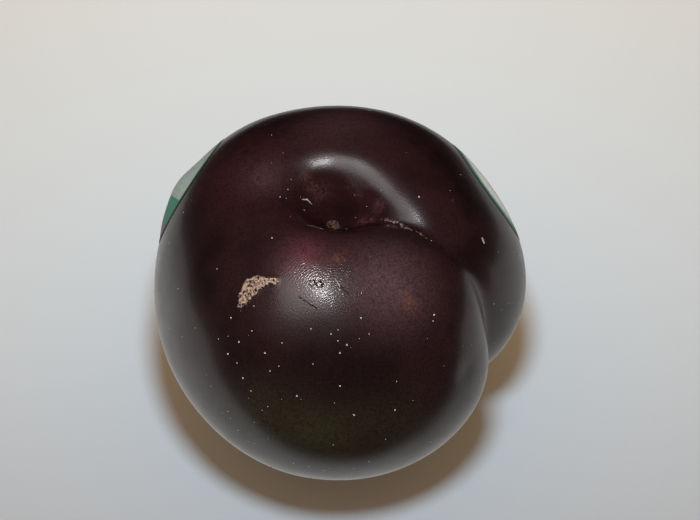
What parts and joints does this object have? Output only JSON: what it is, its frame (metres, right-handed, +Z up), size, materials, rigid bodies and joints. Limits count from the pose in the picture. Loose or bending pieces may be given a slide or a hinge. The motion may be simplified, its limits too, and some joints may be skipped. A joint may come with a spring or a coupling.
{
  "type": "plum",
  "caption": "Ripe dark plum, stem end up, with a stem cavity, a suture groove down one side and small blank fruit labels. It rests on a small flat.",
  "frame": {"origin": "middle of the small flat that the plum rests on, under its weight", "axes": "+Z up towards the stem cavity, +X towards the suture, +Y and -Y towards the cheeks"},
  "size_m": [0.0652, 0.0685, 0.0582],
  "materials": {
    "skin": "satin",
    "label_film": "satin"
  },
  "bodies": {
    "root": {"plum": "skin", "label_dorsal": "label_film", "label_cheek": "label_film"}
  },
  "joints": []
}
